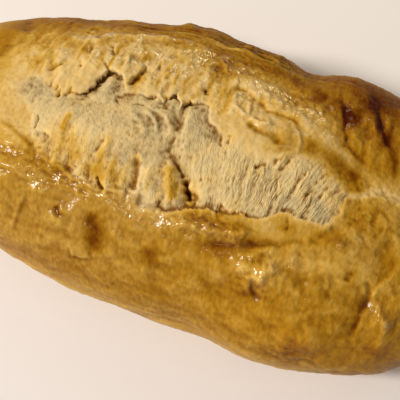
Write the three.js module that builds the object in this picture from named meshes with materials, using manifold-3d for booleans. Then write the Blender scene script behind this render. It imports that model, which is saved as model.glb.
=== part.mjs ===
// A plain white batard: an oval hearth loaf whose one long score burst open in the oven.
// Millimetres, +z up. x runs along the loaf and -y is its near side.
// A place on the skin is written [x, s]: s is the way round from the crown line,
// positive toward the near side and negative toward the far side.

import * as THREE from 'three';
import { ImprovedNoise } from 'three/addons/math/ImprovedNoise.js';
import solidKernel from 'manifold-3d';

// Even form
const LENGTH = 284;
const WIDTH = 142;
const HEIGHT = 84;
const WIDEST_AT = 0.17;        // share of the half length, toward the right end
const LEFT_BLUNTNESS = 2.85;   // plan outline powers of the two ends
const RIGHT_BLUNTNESS = 3.0;
const TIP_LEVEL = 0.36;        // height of the tips, share of the loaf's height
const ARCH_POWER = 3.0;        // long arch of the crown line
const ARCH_ROOT = 2.2;
const END_BOW = -3.0;          // both ends bow toward the near side
const END_SKEW = 2.5;          // and the axis is a little askew
const WIDE_LEVEL = 0.42;       // level of the widest line, share of the section's height
const CROWN_POWER = 2.1;       // section powers above and below that line
const FOOT_POWER = 3.2;
const SUNK_BASE = 3.0;         // the round form reaches this far below the flat base

// Swells (above zero) and hollows (below) in the crust
const SWELLS = [
  { at: [58, 92], reach: [18, 28], height: 2.2 },      // near side, right of the middle
  { at: [20, 94], reach: [16, 24], height: -2.2 },     // waist beside it
  { at: [120, 76], reach: [16, 34], height: -2.2 },    // near right end draws in
  { at: [-118, 62], reach: [20, 34], height: 2.4 },    // full near left end
  { at: [34, -66], reach: [11, 24], height: -4.8 },    // dent in the far side
  { at: [60, -60], reach: [12, 22], height: 1.6 },     // full shoulder right of the dent
  { at: [-20, -64], reach: [15, 20], height: 2.4 },    // full far shoulder
  { at: [-72, -66], reach: [22, 24], height: -1.8 },   // flatter far left side
  { at: [-120, -40], reach: [14, 30], height: 3.0 },   // full far left end
  { at: [18.5, -58], reach: [3.4, 6], height: 2.0 },   // knobs on the far edge
  { at: [-28, -64], reach: [4, 6], height: 1.2 },
  { at: [37, 49], reach: [12, 8], height: 2.0 },       // shiny mound below the burst
  { at: [33, 62], reach: [14, 8], height: -1.8 },      // shallow hollow below the mound
  { at: [72, 62], reach: [16, 12], height: 1.2 },
  { at: [-42, 54], reach: [3.5, 4], height: -1.0 },    // small scorched pit
  { at: [-71, 44], reach: [9, 8], height: 1.4 },
  { at: [82, 13], reach: [9, 7], height: 1.6 },
];

// Creases (below zero) and rolls (above) along lines
const FOLDS = [
  { line: [[8, -24], [20, -19], [27, -15.5], [37, -14]], width: 2.6, height: -2.0 },
  { line: [[8, -32], [20, -26], [32, -21.5], [44, -17], [54, -11]], width: 5.0, height: 2.2 },
  { line: [[38.5, -13], [40, -4], [36, 4], [32, 8]], width: 2.0, height: -1.3 },
  { line: [[57, -28], [58.5, -15], [61, -7], [67, -1]], width: 3.4, height: -1.7 },
  { line: [[65, -46], [67, -32], [72, -23], [79, -13], [86, -8]], width: 3.6, height: -1.8 },
  { line: [[99, 25], [96, 36], [92, 44], [89.5, 53], [87, 63]], width: 3.4, height: -2.4 },
  { line: [[103, 33], [97.5, 43], [96, 53], [98, 64]], width: 5.0, height: 2.0 },
  { line: [[82, 31], [88, 21], [92, 13]], width: 3.4, height: -1.4 },
  { line: [[70, 7], [75, 4], [80, 1.5], [88, 3.5], [96, 4]], width: 1.9, height: -1.2 },
  { line: [[0, 44.5], [8, 42.5], [20, 40.5], [38, 37]], width: 3.4, height: 1.9 },
  { line: [[7, 49], [22, 46], [36, 40], [48, 38], [62, 38]], width: 3.0, height: -1.6 },
  { line: [[-79, -3], [-75, -7], [-69, -15]], width: 2.4, height: -1.8 },
  { line: [[-60.5, 43], [-61, 48], [-65, 52], [-70, 54]], width: 2.2, height: -1.2 },
];

// The burst: ragged far edge of the crust, near lip, and the crumb that swelled between them
const FAR_LIP = [
  [-86, 14], [-83, 4], [-80, -1], [-73, 3], [-66, 7], [-60, 4], [-55, 0.5], [-53.5, -3], [-52, -8.5],
  [-48, -11.5], [-44, -12.5], [-41, -8.5], [-38, -5.5], [-37, -9], [-35, -17.5], [-31, -18], [-30.5, -14],
  [-28, -10.5], [-25, -9], [-23, -11], [-22, -16], [-20.5, -9.5], [-17, -9.5], [-12, -7], [-10.5, -11.5],
  [-8, -11], [-5, -16], [-3, -12], [0, -5], [3.5, 3], [8, 3], [16, 1], [30, 4], [40, 3], [52, 4], [62, 5],
  [70, 9],
];
const NEAR_LIP = [
  [-86, 19], [-76, 27], [-66, 33], [-47, 36], [-36, 38], [-25, 42], [-4, 42], [4, 40], [10, 35.5], [20, 33],
  [35, 30.5], [49, 27], [64, 26], [69, 22], [70, 16],
];
const LIP_WIDTH = 1.8;         // the step from crust to crumb
const LIP_CURL = 1.8;          // the far crust edge curls up by this much
const CURL_REACH = 7;
const FAR_DROP = 3.6;          // from the curled edge down to the crumb
const NEAR_DROP = 1.6;         // from the near lip down to the crumb
const LEFT_PILLOW = { at: [-36, 20], reach: [34, 17], height: 2.2 };
const RIGHT_PILLOW = { at: [33, 10], reach: [36, 19], height: 4.0 };
const SPLIT_AT = 3;            // left of this x the far crust is torn, right of it the skin runs on
const SPLIT_BLEND = 6;
const TEARS = [                // the fissure between the pillows, then short rips and pits
  { line: [[-12, 0], [-6, 1], [-5, 7]], width: 2.4, height: -3.2 },
  { line: [[-8, 11], [-7, 15], [-5, 20]], width: 1.8, height: -1.8 },
  { line: [[-3, 20.5], [1, 25.5], [5, 32], [9.5, 35.5]], width: 2.6, height: -4.8 },
  { line: [[17, 33], [22, 33]], width: 2.2, height: -2.8 },
  { line: [[23, 6.5], [29, 7], [33, 6]], width: 1.5, height: -1.3 },
  { line: [[36, 1], [34, 10]], width: 1.4, height: -1.4 },
  { line: [[55, 8], [50, 17], [47, 21]], width: 1.6, height: -1.7 },
  { line: [[60, 12], [56, 18]], width: 1.6, height: -1.5 },
  { line: [[44, 7], [41, 14]], width: 1.3, height: -1.0 },
  { line: [[50, 8], [46, 17]], width: 1.3, height: -1.0 },
  { line: [[44, 26], [47, 28], [48, 32]], width: 1.5, height: -1.6 },
  { line: [[-66, 17], [-65, 24]], width: 1.6, height: -1.5 },
  { line: [[-64, 24], [-57, 26]], width: 1.6, height: -1.4 },
  { line: [[-34, 31], [-33, 35], [-30, 41]], width: 1.7, height: -1.8 },
  { line: [[-2, 36], [-2, 40]], width: 1.6, height: -1.8 },
];

// Unevenness: size is the grain along and around the loaf, layer keeps one grain unlike another,
// and at and reach say where a grain lies that isn't everywhere
const CRUST_LUMPS = { size: [26, 22], height: 1.0, layer: 20 };
const CRUMB_CRAGS = { size: [6, 7], height: 0.9, layer: 30 };
const CRUMB_FIBRES = { size: [3.6, 22], height: 0.9, layer: 31 };
const FIBRE_SLANT = 0.2;       // the fibres lean this much along the loaf on their way round
const LEFT_FIBRES = 0.4;       // and are this much weaker left of the fissure
const GRAINS = [
  { at: [-40, 38], reach: [30, 7], size: [6, 3.5], height: 1.1 },    // puckered near lip
  { at: [-72, 36], reach: [10, 9], size: [7, 3.5], height: 1.2 },
  { at: [-6, -54], reach: [34, 9], size: [16, 4], height: 1.1 },     // lined far side
  { at: [32, -23], reach: [20, 6], size: [6, 4], height: 1.0 },      // pitted roll behind the burst
  { at: [70, 84], reach: [20, 9], size: [14, 4], height: 1.2 },      // lined near right foot
  { at: [70, -26], reach: [14, 16], size: [6, 18], height: 1.3 },    // lined scorched shoulder
  { at: [92, 46], reach: [9, 16], size: [5, 8], height: 1.0 },       // puckered right end
];
const RELIEF_FROM = 3;         // the relief starts at this level above the flat base
const RELIEF_FULL = 16;        // and has its full height from here up

// Net of points: bands of [from, to, steps] along the loaf and around it at its widest
const LENGTH_BANDS = [[-92, 80, 120], [80, 108, 16]];
const END_STEPS = 12;
const GIRTH_BANDS = [
  [-150, -104, 6], [-104, -70, 7], [-70, -26, 16], [-26, 46, 52], [46, 70, 12], [70, 104, 9], [104, 150, 6],
];
const BASE_STEPS = 3;          // across each half of the flat base
const SECTION_STEPS = 240;     // steps of the fine outline that the girth is measured on
const FACET_DEPTH = 0.24;      // flat enough places are made into larger facets

const CRUST_COLOUR = '#b8853f';

const noise = new ImprovedNoise();
const { clamp, lerp, smoothstep } = THREE.MathUtils;

function signedPower(value, power) {
  return Math.sign(value) * Math.abs(value) ** power;
}

// Half width, top, bottom, widest level and middle line of the section at x
function sectionSizes(x) {
  const along = clamp(x / (LENGTH / 2), -1, 1);
  const fromWidest = along < WIDEST_AT
    ? (along - WIDEST_AT) / (1 + WIDEST_AT)
    : (along - WIDEST_AT) / (1 - WIDEST_AT);
  const bluntness = fromWidest < 0 ? LEFT_BLUNTNESS : RIGHT_BLUNTNESS;
  const halfWidth = (WIDTH / 2) * Math.sqrt(Math.max(0, 1 - Math.abs(fromWidest) ** bluntness));
  const arch = Math.max(0, 1 - Math.abs(along) ** ARCH_POWER) ** (1 / ARCH_ROOT);
  const tip = TIP_LEVEL * HEIGHT;
  const top = tip + (HEIGHT - tip) * arch;
  const bottom = tip * (1 - arch) - SUNK_BASE * arch;
  const wide = bottom + WIDE_LEVEL * (top - bottom);
  const middle = END_BOW * along ** 2 + END_SKEW * along;
  return { halfWidth, top, bottom, wide, middle };
}

// Half outline of the section at x, crown to middle of the base; side is 1 for far, -1 for near
function halfOutline(x, side) {
  const { halfWidth, top, bottom, wide, middle } = sectionSizes(x);
  const points = [];
  const girth = [];
  for (let i = 0; i <= SECTION_STEPS; i += 1) {
    const turn = Math.PI / 2 - (Math.PI * i) / SECTION_STEPS;
    const power = 2 / (turn >= 0 ? CROWN_POWER : FOOT_POWER);
    const out = Math.abs(Math.cos(turn)) ** power;
    const up = signedPower(Math.sin(turn), power);
    const y = middle + side * halfWidth * out;
    const z = Math.max(0, wide + up * (up > 0 ? top - wide : wide - bottom));
    points.push([y, z]);
    girth.push(i === 0 ? 0 : girth[i - 1] + Math.hypot(y - points[i - 1][0], z - points[i - 1][1]));
  }
  return { points, girth };
}

// Point of the even form at x, at a share of the half girth (negative far side, positive near side)
function evenPoint(outlines, x, share) {
  const { points, girth } = share < 0 ? outlines.far : outlines.near;
  const reach = Math.abs(share) * girth[SECTION_STEPS];
  let i = 1;
  while (i < SECTION_STEPS && girth[i] < reach) {
    i += 1;
  }
  const part = (reach - girth[i - 1]) / Math.max(1e-9, girth[i] - girth[i - 1]);
  const y = lerp(points[i - 1][0], points[i][0], part);
  const z = lerp(points[i - 1][1], points[i][1], part);
  return { point: new THREE.Vector3(x, y, z), s: Math.sign(share) * reach };
}

function distanceToLine(x, s, line) {
  let nearest = Infinity;
  for (let i = 1; i < line.length; i += 1) {
    const [x0, s0] = line[i - 1];
    const [dx, ds] = [line[i][0] - x0, line[i][1] - s0];
    const part = clamp(((x - x0) * dx + (s - s0) * ds) / (dx * dx + ds * ds), 0, 1);
    nearest = Math.min(nearest, Math.hypot(x - x0 - part * dx, s - s0 - part * ds));
  }
  return nearest;
}

// s of a lip at x, read between its points
function lipAt(lip, x) {
  const next = lip.findIndex((point) => x <= point[0]);
  if (next === 0) {
    return lip[0][1];
  }
  if (next < 0) {
    return lip.at(-1)[1];
  }
  const [x0, s0] = lip[next - 1];
  const [x1, s1] = lip[next];
  return lerp(s0, s1, (x - x0) / (x1 - x0));
}

// Depth inside the burst: distance to its edge, negative outside
function depthInBurst(x, s, far, near) {
  const between = x > FAR_LIP[0][0] && x < FAR_LIP.at(-1)[0] && s > far && s < near;
  const outline = [...FAR_LIP, ...NEAR_LIP.toReversed(), FAR_LIP[0]];
  return (between ? 1 : -1) * distanceToLine(x, s, outline);
}

function swell(x, s, { at, reach, height }) {
  return height * Math.exp(-(((x - at[0]) / reach[0]) ** 2) - ((s - at[1]) / reach[1]) ** 2);
}

function fold(x, s, { line, width, height }) {
  return height * Math.exp(-((distanceToLine(x, s, line) / width) ** 2));
}

function grain(x, s, { size, height, layer }) {
  return height * noise.noise(x / size[0], s / size[1], layer + 0.5);
}

function localGrain(x, s, one, layer) {
  return swell(x, s, one) * grain(x, s, { size: one.size, height: 1, layer });
}

function crustRelief(x, s) {
  const swells = SWELLS.reduce((sum, one) => sum + swell(x, s, one), 0);
  const folds = FOLDS.reduce((sum, one) => sum + fold(x, s, one), 0);
  const grains = GRAINS.reduce((sum, one, i) => sum + localGrain(x, s, one, i), 0);
  return grain(x, s, CRUST_LUMPS) + swells + folds + grains;
}

// The burst: crumb let down behind the lips and swollen into two pillows with a fissure between
function burstRelief(x, s) {
  const far = lipAt(FAR_LIP, x);
  const near = lipAt(NEAR_LIP, x);
  const depth = depthInBurst(x, s, far, near);
  const open = smoothstep(depth, -LIP_WIDTH / 2, LIP_WIDTH / 2);
  const torn = 1 - smoothstep(x, SPLIT_AT - SPLIT_BLEND / 2, SPLIT_AT + SPLIT_BLEND / 2);
  const across = clamp((s - far) / Math.max(1, near - far), 0, 1);
  const drop = torn * FAR_DROP * (1 - across) ** 2 + NEAR_DROP * across ** 2;
  const curlsHere = s < (far + near) / 2 ? torn * (1 - open) : 0;
  const curl = curlsHere * LIP_CURL * Math.exp(-((depth / CURL_REACH) ** 2));
  const fibres = grain(x + FIBRE_SLANT * s, s, CRUMB_FIBRES) * lerp(1, LEFT_FIBRES, torn);
  const crumb = grain(x, s, CRUMB_CRAGS) + fibres - drop;
  const pillows = open * swell(x, s, LEFT_PILLOW) + swell(x, s, RIGHT_PILLOW);
  const rips = TEARS.reduce((sum, one) => sum + fold(x, s, one), 0);
  return curl + pillows + rips + open * crumb;
}

// x of the rows, closer together over the burst and toward the tips
function rowPlaces() {
  const leftEnd = LENGTH_BANDS[0][0];
  const rightEnd = LENGTH_BANDS.at(-1)[1];
  const places = [];
  for (let i = 1; i < END_STEPS; i += 1) {
    const turn = (Math.PI / 2) * (i / END_STEPS);
    places.push(-LENGTH / 2 + (leftEnd + LENGTH / 2) * (1 - Math.cos(turn)));
  }
  for (const [from, to, steps] of LENGTH_BANDS) {
    for (let i = 0; i < steps; i += 1) {
      places.push(lerp(from, to, i / steps));
    }
  }
  for (let i = 0; i < END_STEPS; i += 1) {
    const turn = (Math.PI / 2) * (i / END_STEPS);
    places.push(rightEnd + (LENGTH / 2 - rightEnd) * Math.sin(turn));
  }
  return places;
}

// Shares of the half girth of the columns, from the middle of the base round the far side and back
function columnShares() {
  const widest = (WIDEST_AT * LENGTH) / 2;
  const girth = halfOutline(widest, 1).girth[SECTION_STEPS];
  const farFoot = GIRTH_BANDS[0][0];
  const nearFoot = GIRTH_BANDS.at(-1)[1];
  const bands = [[-girth, farFoot, BASE_STEPS], ...GIRTH_BANDS, [nearFoot, girth, BASE_STEPS]];
  const shares = [];
  for (const [from, to, steps] of bands) {
    for (let i = 0; i < steps; i += 1) {
      shares.push(lerp(from, to, i / steps) / girth);
    }
  }
  return shares;
}

// Even form with the relief raised along its normals
function skinPoints(rows, shares) {
  const count = shares.length;
  const even = rows.map((x) => {
    const outlines = { far: halfOutline(x, 1), near: halfOutline(x, -1) };
    return shares.map((share) => evenPoint(outlines, x, share));
  });
  return even.map((row, i) => row.map(({ point, s }, j) => {
    const before = even[Math.max(0, i - 1)][j].point;
    const after = even[Math.min(rows.length - 1, i + 1)][j].point;
    const along = new THREE.Vector3().subVectors(after, before);
    const next = row[(j + 1) % count].point;
    const last = row[(j + count - 1) % count].point;
    const around = new THREE.Vector3().subVectors(next, last);
    const normal = around.cross(along).normalize();
    const share = smoothstep(point.z, RELIEF_FROM, RELIEF_FULL);
    const relief = share * (crustRelief(rows[i], s) + burstRelief(rows[i], s));
    const raised = point.clone().addScaledVector(normal, relief);
    raised.z = Math.max(0, raised.z);
    return raised;
  }));
}

// Closed skin: rows of points joined into triangles, with one point at each tip
function closedSkin() {
  const rows = rowPlaces();
  const shares = columnShares();
  const count = shares.length;
  const points = skinPoints(rows, shares).flat();
  const tipLevel = TIP_LEVEL * HEIGHT;
  const leftTip = points.push(new THREE.Vector3(-LENGTH / 2, END_BOW - END_SKEW, tipLevel)) - 1;
  const rightTip = points.push(new THREE.Vector3(LENGTH / 2, END_BOW + END_SKEW, tipLevel)) - 1;
  const lastRow = (rows.length - 1) * count;
  const faces = [];
  for (let j = 0; j < count; j += 1) {
    const next = (j + 1) % count;
    faces.push(leftTip, next, j);
    for (let i = 0; i + 1 < rows.length; i += 1) {
      const [a, b] = [i * count + j, i * count + next];
      const [c, d] = [a + count, b + count];
      const shortWay = points[a].distanceTo(points[d]) < points[b].distanceTo(points[c]);
      faces.push(...(shortWay ? [a, d, c, a, b, d] : [a, b, c, b, d, c]));
    }
    faces.push(rightTip, lastRow + j, lastRow + next);
  }
  return { points, faces };
}

// The skin as one solid, with larger facets where it is smooth, standing on z = 0 about its middle
async function loafGeometry() {
  const { points, faces } = closedSkin();
  const kernel = await solidKernel();
  kernel.setup();
  const skin = new kernel.Mesh({
    numProp: 3,
    vertProperties: new Float32Array(points.flatMap((point) => point.toArray())),
    triVerts: new Uint32Array(faces),
  });
  const facets = kernel.Manifold.ofMesh(skin).simplify(FACET_DEPTH).getMesh();
  const geometry = new THREE.BufferGeometry();
  geometry.setAttribute('position', new THREE.BufferAttribute(facets.vertProperties, 3));
  geometry.setIndex(new THREE.BufferAttribute(facets.triVerts, 1));
  geometry.computeBoundingBox();
  const { min, max } = geometry.boundingBox;
  geometry.translate(-(min.x + max.x) / 2, -(min.y + max.y) / 2, -min.z);
  geometry.computeVertexNormals();
  return geometry;
}

async function loafMesh() {
  const crust = new THREE.MeshStandardMaterial({ color: CRUST_COLOUR, roughness: 0.6, metalness: 0 });
  crust.name = 'crust';
  const mesh = new THREE.Mesh(await loafGeometry(), crust);
  mesh.name = 'loaf';
  return mesh;
}

const loaf = new THREE.Group();
loaf.name = 'plain_loaf';
loaf.add(await loafMesh());

export default loaf;
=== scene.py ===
import math
from collections import namedtuple

import bpy
import numpy as np
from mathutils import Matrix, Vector


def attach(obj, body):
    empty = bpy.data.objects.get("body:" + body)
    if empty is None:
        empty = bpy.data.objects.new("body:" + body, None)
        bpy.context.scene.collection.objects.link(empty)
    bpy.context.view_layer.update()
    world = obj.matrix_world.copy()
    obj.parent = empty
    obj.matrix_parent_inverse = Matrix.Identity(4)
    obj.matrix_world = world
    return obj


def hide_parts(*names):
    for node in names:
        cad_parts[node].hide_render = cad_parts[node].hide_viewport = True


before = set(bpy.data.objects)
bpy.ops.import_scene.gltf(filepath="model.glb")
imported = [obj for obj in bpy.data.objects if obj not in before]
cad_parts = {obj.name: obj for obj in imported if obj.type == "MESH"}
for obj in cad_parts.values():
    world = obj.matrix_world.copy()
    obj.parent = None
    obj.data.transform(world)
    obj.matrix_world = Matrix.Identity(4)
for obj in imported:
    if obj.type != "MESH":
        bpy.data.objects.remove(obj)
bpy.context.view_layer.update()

# Lengths are millimetres until the mesh is made. x runs along the loaf, -y is its near side.
# A place on the skin is (x, s): s is the way round from the crown line, positive on the near side.
# In the long tables, the rows of each side and of the burst run from left to right.
MM = 0.001
# Keeps a division from failing
TINY = 1e-9

# Even form, as in the solid: plan, arch from end to end, section
LENGTH = 284.0
WIDTH = 142.0
HEIGHT = 84.0
WIDEST_AT = 0.17
LEFT_BLUNTNESS = 2.85
RIGHT_BLUNTNESS = 3.0
TIP_LEVEL = 0.36
ARCH_POWER = 3.0
ARCH_ROOT = 2.2
END_BOW = -3.0
END_SKEW = 2.5
WIDE_LEVEL = 0.42
CROWN_POWER = 2.1
FOOT_POWER = 3.2
SUNK_BASE = 3.0
RECENTRE_Y = 0.12
# From here on to each end, the x of a place is its way over the skin
STRAIGHT_TO = 95.0

# Swells and hollows: x, s, reach along and around, height
SWELLS = [
    # Far side
    (-120, -40, 14, 30, 3),
    (-72, -66, 22, 24, -1.8),
    (-28, -64, 4, 6, 1.2),
    (-20, -64, 15, 20, 2.4),
    (18.5, -58, 3.4, 6, 2),
    (21, -1, 7, 3.5, 0.8),
    (34, -66, 11, 24, -4.8),
    (60, -60, 12, 22, 1.6),
    (94, -62, 12, 22, 2.4),
    # Burst
    (-26, 34, 4.5, 6, 1.2),
    (-8.5, 4, 3, 3.6, -1.6),
    # Near side
    (-118, 62, 20, 34, 2.4),
    (-71, 44, 9, 8, 1.4),
    (20, 94, 16, 24, -2.2),
    (33, 38.5, 1.9, 2.2, 0.7),
    (33, 64, 14, 8, -1.8),
    (43.5, 59.5, 2.6, 4, -0.9),
    (46, 50, 9, 6.5, 3.4),
    (58, 92, 18, 28, 2.2),
    (70, 69, 7, 6, 1.2),
    (72, 62, 16, 12, 1.2),
    (82, 13, 9, 7, 1.6),
    (88.5, 28, 5, 5, -1.2),
    (120, 76, 16, 34, -2.2),
]
# Like beads in a row on the near lip
LIP_BEADS = [(9, 41.5), (14, 41), (18.5, 40.3), (23, 39.8), (28, 39.3)]
BEAD_REACH = (1.9, 2.2)
BEAD_HEIGHT = 0.9
SWELLS += [(*at, *BEAD_REACH, BEAD_HEIGHT) for at in LIP_BEADS]

# Small shiny blisters of the crust: (x, s)
BLISTERS = [
    (-67, -26), (-61.5, -29), (-58, -27.5), (-56, -33.5), (-42.5, -36.5), (-40, -39), (-31, -42.5),
    (-21.5, -43), (-25.5, -27.5), (-31, -28.5), (-38.5, -27.5), (-38.5, -21), (-70.5, -15.5), (-74, -9),
    (-20.5, -19.5), (-12, -40.5), (-3, -39), (4, -33), (8, -35.5), (18.5, -30), (23, -30.5),
    (27.5, -28.5), (28.5, -20.5), (37, -18), (42.5, -22.5), (41, -15.5), (47.5, -20), (53.5, -13.5),
    (29, 57), (36, 50.5), (48, 46), (45, 52.5), (54, 40), (56, 42.5), (70, 28.5), (76, 23.5),
    (90.5, 46), (96.5, 49),
]
BLISTER_REACH = (2.6, 1.9)
BLISTER_HEIGHT = 0.5
BLISTER_SHINE = 0.9

# Lines on the skin that shape, colour or both follow
ROLL_CREASE = [
    (5, -21), (8.5, -23.5), (13.5, -23), (19.5, -19.5), (23.5, -16.5), (32, -16), (36, -15),
    (39.5, -13), (46, -11.5),
]
ROLL = [
    (4, -33), (12, -28), (18, -25.5), (25, -22.5), (32.5, -20.5), (40, -17), (47.5, -13.5), (53.5, -11),
]
ARC_FOLD = [(36, -13.5), (39.5, -10.5), (41.5, -5), (42, -0.5), (38, 3.5), (34.5, 10)]
SKIN_BAND = [(17.5, -5.5), (25, -3.5), (31, -3.5), (34.5, 0)]
SKIN_STREAKS = [
    [(4.5, -19.5), (3.5, -12.5), (2.5, -6.5)],
    [(7, -22), (7, -12.5), (6.5, -5)],
    [(10, -21), (10.5, -13.5), (11.5, -6.5)],
]
SCORCH_LEFT = [(50.5, -39.5), (55.5, -24.5), (59.5, -12.5), (71.5, -6)]
SCORCH_RIGHT = [(62.5, -55), (66, -39), (72, -28), (78, -18), (84, -4)]
END_CREASE = [(93, 26), (91, 32), (87.5, 37.5), (87.5, 42), (88, 47), (86, 51), (87, 60)]
SCORE_TAIL = [(63.5, 11), (66.5, 8), (70.5, 7.5), (74.5, 4), (79.5, 2), (90, 2), (98, 3)]
LIP_GROOVE = [(16, 47.5), (29, 44.5), (39.5, 40), (51, 34.5), (62, 29.5)]
LIP_EDGE = [(-54, 34.5), (-45.5, 36), (-40, 39), (-34.5, 39.5), (-29.5, 40)]
LEFT_LIP = [(-81, 23), (-74, 25), (-66, 29.5), (-60, 32)]
FIRST_BLADE = [(-51.5, 22), (-51, 17.5), (-51, 12.5)]
SECOND_BLADE = [(-33, 28), (-31.5, 23.5), (-30, 17.5)]
FIRST_TONGUE = [(-12, 24), (-9, 33), (-5.5, 39.5)]
SECOND_TONGUE = [(-4, 22), (-0.5, 30), (2.5, 36)]
RED_PIT = [(-45, 51.5), (-40.5, 56)]
BROWN_TROUGH = [(-29.5, 49), (-25.5, 58), (-22, 68)]
GREY_SPOT = [(-3.5, 55), (0.5, 59), (4, 64)]
RIM_CREST = [(-70, -25), (-58, -28), (-52, -34), (-35, -41), (-21, -43)]
FLAP_SLIT = [(-34.5, -6.5), (-34, -10.5), (-32.5, -15.5), (-31.5, -21)]
BUBBLE_EDGE = [(-34, 3.5), (-37.5, 0), (-33, -3.5), (-29.5, -5.5)]
# From the far lip to the near one between the two pillows
FISSURE = [
    (-7, -12), (-6, 0), (-4.5, 4.5), (-5.5, 8.5), (-7, 13), (-6.5, 16), (-4, 20), (0, 23), (3.5, 25.5),
    (6.5, 30), (11, 35), (13, 42),
]

# Creases (low) and rolls (high): line, width, height
FOLDS = [
    # Far side
    ([(-49, -16.5), (-46.5, -13)], 0.7, -1.2),
    (RIM_CREST, 1.7, 0.9),
    ([(-42.5, -26), (-38, -12), (-36, -5.5)], 1.5, 0.8),
    ([(-4, -34.5), (-3, -28.5)], 1.2, -0.8),
    ([(-4, -38), (-0.5, -34), (1.5, -30.5)], 0.9, 0.9),
    (SKIN_STREAKS[1], 1.5, -0.5),
    (SKIN_STREAKS[2], 1.5, 0.5),
    ([(10.5, -13.5), (14.5, -11), (17, -9)], 1.1, 1.3),
    ([(16, -19), (17, -13.5), (17.5, -9)], 1.1, 0.9),
    ([(18, -8.5), (23.5, -8), (29, -9)], 1.5, 1.3),
    (ROLL_CREASE, 0.8, -0.4),
    (SKIN_BAND, 1.8, -1.2),
    (ROLL, 4.6, 0.6),
    (ARC_FOLD, 1.1, 0.4),
    (SCORCH_LEFT, 2.6, -0.35),
    ([(58, -23), (64, -17), (69.5, -14)], 2.2, 0.6),
    ([(65, -35.5), (69.5, -23)], 2, 0.6),
    (SCORCH_RIGHT, 2.6, -0.35),
    (SCORE_TAIL, 1, -0.4),
    # Burst
    (FIRST_BLADE, 1.6, 0.6),
    (LIP_EDGE, 0.9, 0.8),
    (SECOND_BLADE, 1.6, 0.7),
    ([(-27, 5), (-22, 8), (-19, 13)], 1.2, 0.6),
    ([(-23, 2.5), (-19.5, 4), (-16, 7.5), (-13, 12.5)], 1.1, 0.9),
    ([(-18.5, 23.5), (-16, 28), (-15, 37)], 1.8, -1.4),
    ([(-21.5, 0.5), (-17, 0.5), (-13, 3), (-9.5, 7), (-8.5, 12)], 1.1, 0.9),
    ([(-17.5, -1), (-13, 0), (-10, 2)], 1, 0.7),
    (FIRST_TONGUE, 4, 1.5),
    (SECOND_TONGUE, 3.5, 1.5),
    (FISSURE[3:-1], 4, -1.6),
    # Near side
    (RED_PIT, 1.4, -0.6),
    (BROWN_TROUGH, 4, -0.7),
    ([(-19, 50), (-15, 66)], 3, 0.5),
    ([(0, 44.5), (8, 42.5), (20, 40.5), (38, 37)], 2.6, 1.4),
    ([(26.5, 41.5), (28, 39)], 0.8, -0.9),
    ([(29.5, 40), (31.5, 38.5), (34.5, 37.5)], 1, 0.8),
    ([(35.5, 53), (37.5, 48)], 1.4, 0.8),
    (LIP_GROOVE, 1.7, -1.2),
    ([(37, 46.5), (40.5, 42), (47.5, 37.5)], 1.6, 0.9),
    ([(43, 54), (45.5, 50), (48, 45)], 2, 0.8),
    ([(45, 36.5), (50.5, 34), (59, 30.5)], 1.4, 0.8),
    ([(60.5, 29), (64, 25.5), (67, 22)], 1.3, -0.7),
    ([(76.5, 41), (76.5, 37.5), (77.5, 36)], 1, -0.9),
    ([(88.5, 17.5), (87, 22.5), (82.5, 27)], 2.2, -0.8),
    ([(84.5, 37), (87.5, 42)], 1, -0.7),
    ([(86, 59), (86, 55.5), (86, 51)], 1, -0.4),
    (END_CREASE, 0.6, -0.4),
    ([(89, 43), (92, 46.5), (96.5, 49.5)], 1.4, 0.8),
    ([(103, 33), (97.5, 43), (95, 50), (98, 64)], 4, 1.8),
]

# Edges of flaps: line, width, rise on the near side of a line toward +x, and as deep a fall opposite
LEDGES = [
    # Far side
    (FLAP_SLIT, 2.5, -0.9),
    ([(-31.5, -21), (-29, -18)], 2.5, -0.5),
    ([(-19.5, -17), (-19.5, -12.5), (-20, -8), (-17.5, -4.5)], 2.5, 0.8),
    ([(10.5, 3), (7.5, 0), (4, -1.5), (0.5, -10)], 4, 0.5),
    (ROLL_CREASE, 7, -0.8),
    (ARC_FOLD, 3.5, 0.4),
    (SCORCH_LEFT, 5, 0.3),
    (SCORCH_RIGHT, 5, 0.3),
    # Burst
    ([(-55, 25.5), (-59, 23.5), (-62.5, 23.5)], 3, 0.9),
    (BUBBLE_EDGE, 2.5, -0.4),
    ([(-13.5, 0), (-11.5, 1.5), (-7.5, 4), (-7.5, 6.5), (-5.5, 8.5)], 3, 0.7),
    ([(-3.5, 9), (-5, 2.5), (-7, -5)], 3, 0.8),
    (FISSURE[5:-1], 6, 1.1),
    # Near side
    (LEFT_LIP, 3, 0.6),
    ([(-57.5, 51), (-59.5, 56), (-61.5, 65), (-62, 71)], 2, 0.8),
    ([(-34.5, 67), (-32.5, 72), (-28.5, 72), (-24.5, 69.5), (-27, 66)], 1.5, -0.9),
    ([(40.5, 54), (43, 59), (46, 63.5)], 4, 0.9),
    (END_CREASE, 5, -0.7),
]
LEDGE_SHARPNESS = 0.9
# How far lines wander, over what size, and the share of their length in which each end fades
LINE_WANDER = 1.3
WANDER_SIZE = 7.0
LINE_TAPER = (-0.05, 0.2)

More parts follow.
